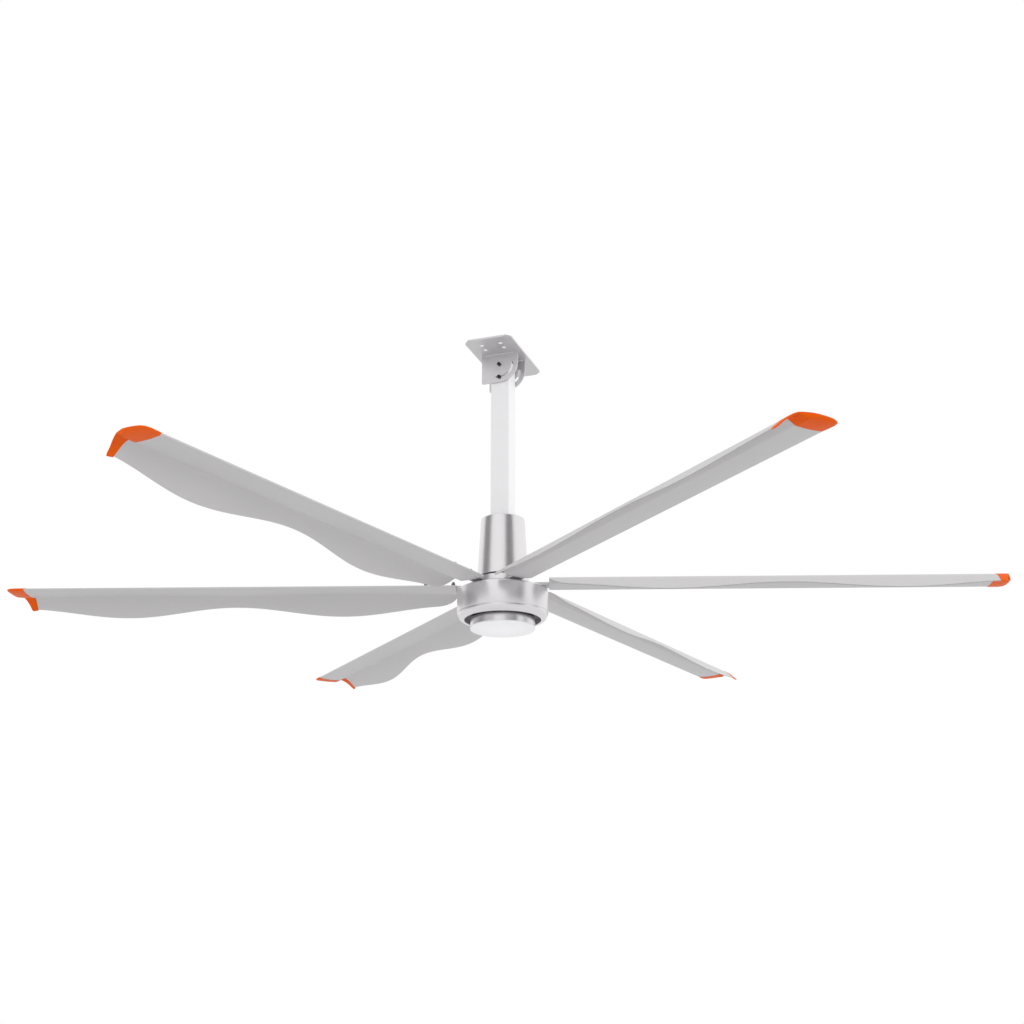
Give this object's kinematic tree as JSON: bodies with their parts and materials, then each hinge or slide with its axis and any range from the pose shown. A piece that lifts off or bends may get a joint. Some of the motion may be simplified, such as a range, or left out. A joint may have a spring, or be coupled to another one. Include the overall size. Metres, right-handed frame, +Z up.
{
  "type": "ceiling fan",
  "caption": "Large slow industrial ceiling fan with wavy-edged hollow blades, orange swept tip caps, a direct-drive motor under a cone cover, a square down rod and a tilting ceiling bracket.",
  "frame": {"origin": "centre of the ceiling plate's top face, above the pivot bolt and on the fan's spin axis at rest", "axes": "+Z up along the down rod; Y along the pivot bolt, through the two bracket ears; +X toward the side to which the rod swings through the long part of the arc slot"},
  "size_m": [4.7052, 4.8012, 1.454],
  "materials": {
    "bracket_steel": "satin",
    "dark_steel": "satin",
    "rod_paint": "satin",
    "silver": "satin",
    "drum_paint": "satin",
    "blade_metal": "matte",
    "cap_orange": "satin",
    "bearing_steel": "satin",
    "lamination": "matte",
    "winding": "gloss"
  },
  "bodies": {
    "bracket": {"ceiling_bracket": "bracket_steel", "pivot_bolt": "dark_steel", "pivot_nut": "dark_steel"},
    "downrod": {"down_rod": "rod_paint", "swing_bolt": "dark_steel", "swing_nut": "dark_steel", "rod_flange": "dark_steel", "flange_bolt_1": "dark_steel", "flange_bolt_2": "dark_steel", "flange_bolt_3": "dark_steel", "flange_bolt_4": "dark_steel", "cone_cover": "silver", "motor_shaft": "dark_steel", "stator_core": "lamination", "upper_winding": "winding", "lower_winding": "winding", "drum_carrier": "dark_steel", "shaft_nut": "dark_steel", "bottom_drum": "drum_paint"},
    "rotor": {"motor_housing": "silver", "motor_end_plate": "dark_steel", "upper_bearing": "bearing_steel", "lower_bearing": "bearing_steel", "magnet_ring": "dark_steel", "arm_seat_ring": "dark_steel", "arm_clamp_ring": "silver", "blade_arm_1": "bearing_steel", "blade_1": "blade_metal", "tip_cap_1": "cap_orange", "blade_bolt_1_1": "dark_steel", "blade_bolt_1_2": "dark_steel", "blade_arm_2": "bearing_steel", "blade_2": "blade_metal", "tip_cap_2": "cap_orange", "blade_bolt_2_1": "dark_steel", "blade_bolt_2_2": "dark_steel", "blade_arm_3": "bearing_steel", "blade_3": "blade_metal", "tip_cap_3": "cap_orange", "blade_bolt_3_1": "dark_steel", "blade_bolt_3_2": "dark_steel", "blade_arm_4": "bearing_steel", "blade_4": "blade_metal", "tip_cap_4": "cap_orange", "blade_bolt_4_1": "dark_steel", "blade_bolt_4_2": "dark_steel", "blade_arm_5": "bearing_steel", "blade_5": "blade_metal", "tip_cap_5": "cap_orange", "blade_bolt_5_1": "dark_steel", "blade_bolt_5_2": "dark_steel", "blade_arm_6": "bearing_steel", "blade_6": "blade_metal", "tip_cap_6": "cap_orange", "blade_bolt_6_1": "dark_steel", "blade_bolt_6_2": "dark_steel"}
  },
  "joints": [
    {"name": "tilt", "type": "hinge", "parent": "bracket", "child": "downrod", "pos_m": [0, 0, -0.068], "axis": [0, -1, 0], "range_deg": [-10, 90]},
    {"name": "spin", "type": "hinge", "parent": "downrod", "child": "rotor", "pos_m": [0, 0, -1.3], "axis": [0, 0, 1], "continuous": true}
  ]
}
